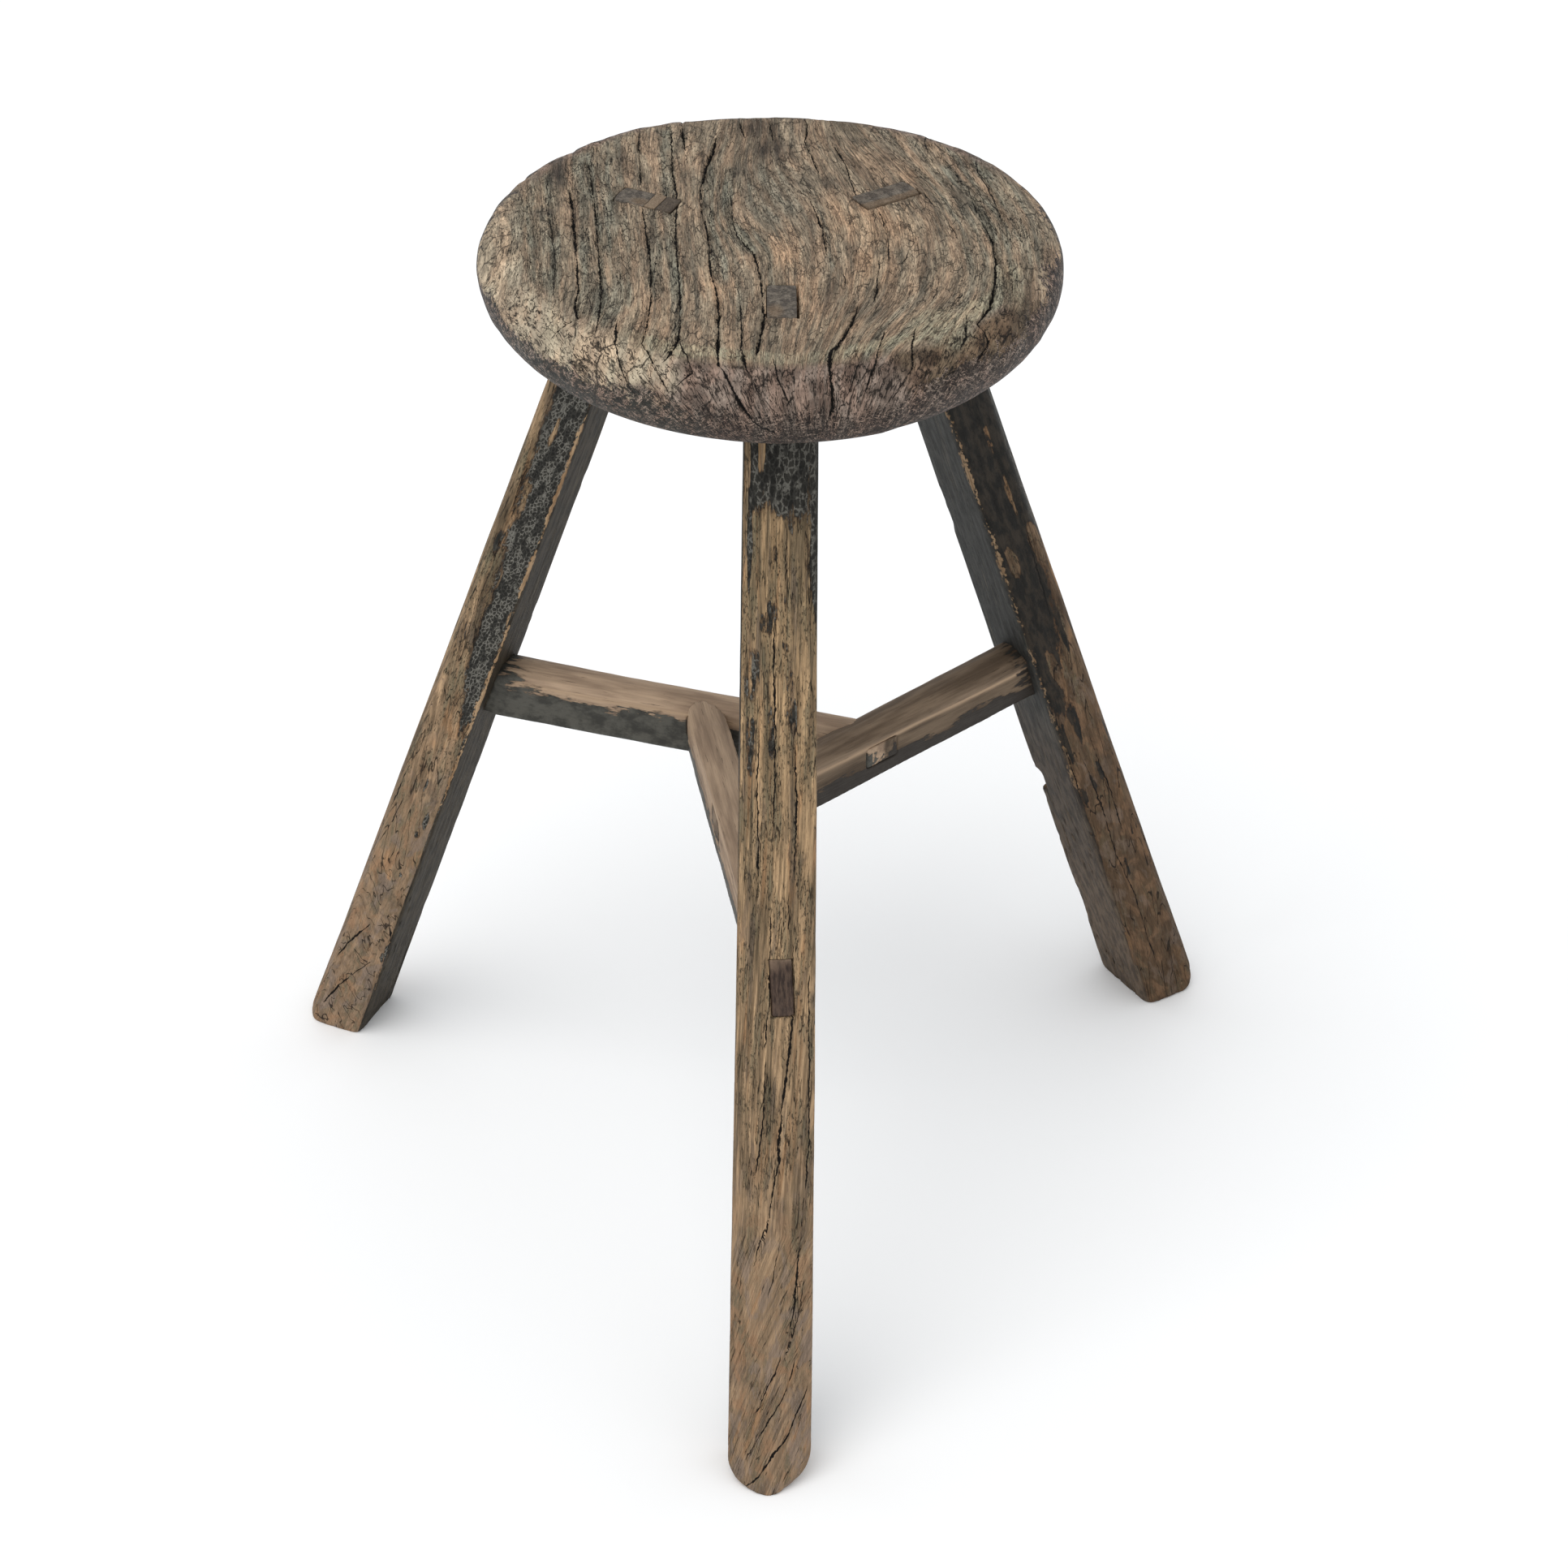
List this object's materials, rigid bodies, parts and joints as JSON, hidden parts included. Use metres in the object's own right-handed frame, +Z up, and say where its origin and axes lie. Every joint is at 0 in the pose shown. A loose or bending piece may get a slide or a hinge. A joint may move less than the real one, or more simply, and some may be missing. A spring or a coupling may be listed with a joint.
{
  "type": "milking stool",
  "caption": "Tall wooden milking stool: thick round plank seat with a rounded rim, splayed legs tenoned through it, braced by a pinwheel of stretchers.",
  "frame": {"origin": "floor level, under the middle of the stool's footprint box; the seat's middle is 57.1 mm behind it (+Y)", "axes": "+Z up through the seat, -Y toward the front leg, +X to the right seen from the front"},
  "size_m": [0.4644, 0.4087, 0.52],
  "materials": {
    "seat_wood": "weathered, unfinished",
    "leg_wood": "flaking black lacquer over brown wood",
    "stretcher_wood": "worn brown top, black lacquer below",
    "wedge_wood": "weathered end grain"
  },
  "bodies": {
    "root": {"seat": "seat_wood", "leg_front": "leg_wood", "leg_left": "leg_wood", "leg_right": "leg_wood", "stretcher_front": "stretcher_wood", "stretcher_left": "stretcher_wood", "stretcher_right": "stretcher_wood", "seat_wedge": "wedge_wood"}
  },
  "joints": []
}
